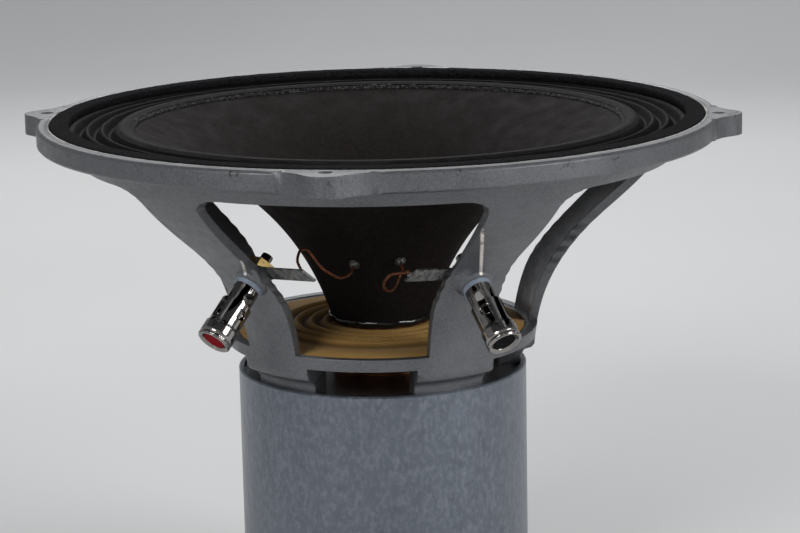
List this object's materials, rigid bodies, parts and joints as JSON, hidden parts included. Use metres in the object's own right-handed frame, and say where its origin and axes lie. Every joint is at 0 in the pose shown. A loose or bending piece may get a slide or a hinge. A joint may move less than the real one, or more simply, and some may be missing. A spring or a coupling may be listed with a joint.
{
  "type": "mid-bass driver",
  "caption": "Round paper-cone loudspeaker driver with a cast legged basket, a pleated surround, sprung press terminals and a field-coil motor in a tall painted can.",
  "frame": {"origin": "centre of the can's flat bottom, on the driver's axis", "axes": "+Z along the driver's axis, the way the cone faces; -Y is the side with the two terminals; +X to the right seen from that side"},
  "size_m": [0.329, 0.329, 0.2448],
  "materials": {
    "cast_paint": "satin grey paint on cast aluminium, fine grain, small chips on the rim",
    "gasket_felt": "matt pressed felt",
    "surround_cloth": "doped pleated cloth, half gloss",
    "spider_cloth": "matt woven cotton stiffened with resin",
    "cone_paper": "matt pressed paper pulp",
    "cap_paper": "matt pressed paper pulp",
    "former_paper": "amber brown varnished paper",
    "copper_wire": "enamelled copper wire, wound",
    "black_glue": "gloss black adhesive",
    "tinned_metal": "dull tinned metal, blotched by solder",
    "copper_braid": "braided copper tinsel",
    "hammer_paint": "blue grey hammer finish",
    "bare_steel": "turned mild steel",
    "dark_steel": "blackened steel",
    "bright_steel": "plated steel",
    "brown_board": "phenolic board",
    "brown_wrap": "varnished cloth wrap",
    "black_rubber": "matt",
    "clear_nylon": "milky blue white nylon",
    "nickel": "bright nickel plate",
    "nut_brass": "bright brass",
    "red_plastic": "half gloss",
    "black_plastic": "half gloss"
  },
  "bodies": {
    "frame": {"basket": "cast_paint", "gasket": "gasket_felt", "surround": "surround_cloth", "spider": "spider_cloth", "red_tinsel_lead": "copper_braid", "black_tinsel_lead": "copper_braid", "can": "hammer_paint", "top_plate": "bare_steel", "pole_piece": "bare_steel", "pole_bolt": "dark_steel", "coil_bobbin": "brown_board", "field_coil": "copper_wire", "coil_wrap": "brown_wrap", "back_plate": "bare_steel", "back_plate_screws": "bright_steel", "basket_screws": "bright_steel", "supply_grommet": "black_rubber", "red_outer_washer": "clear_nylon", "red_inner_washer": "clear_nylon", "red_post": "nickel", "red_pin": "nickel", "red_nut": "nut_brass", "red_lug": "tinned_metal", "red_spring": "bright_steel", "black_outer_washer": "clear_nylon", "black_inner_washer": "clear_nylon", "black_post": "nickel", "black_pin": "nickel", "black_nut": "nut_brass", "black_lug": "tinned_metal", "black_spring": "bright_steel"},
    "cone_assembly": {"cone": "cone_paper", "dust_cap": "cap_paper", "coil_former": "former_paper", "voice_coil": "copper_wire", "neck_glue": "black_glue", "cone_eyelets": "tinned_metal"},
    "red_terminal_sleeve": {"red_sleeve": "nickel", "red_disc": "red_plastic"},
    "black_terminal_sleeve": {"black_sleeve": "nickel", "black_disc": "black_plastic"}
  },
  "joints": [
    {"name": "cone_travel", "type": "slide", "parent": "frame", "child": "cone_assembly", "axis": [0, 0, 1], "range_m": [-0.004, 0.004], "stiffness_N_per_m": 3600, "deforming": ["surround", "spider", "red_tinsel_lead", "black_tinsel_lead"]},
    {"name": "red_terminal_press", "type": "slide", "parent": "frame", "child": "red_terminal_sleeve", "axis": [0.4134, 0.6175, 0.6691], "range_m": [0, 0.0082], "stiffness_N_per_m": 600, "springref_m": -0.004, "deforming": ["red_spring"]},
    {"name": "black_terminal_press", "type": "slide", "parent": "frame", "child": "black_terminal_sleeve", "axis": [-0.4462, 0.5943, 0.6691], "range_m": [0, 0.0082], "stiffness_N_per_m": 600, "springref_m": -0.004, "deforming": ["black_spring"]}
  ]
}
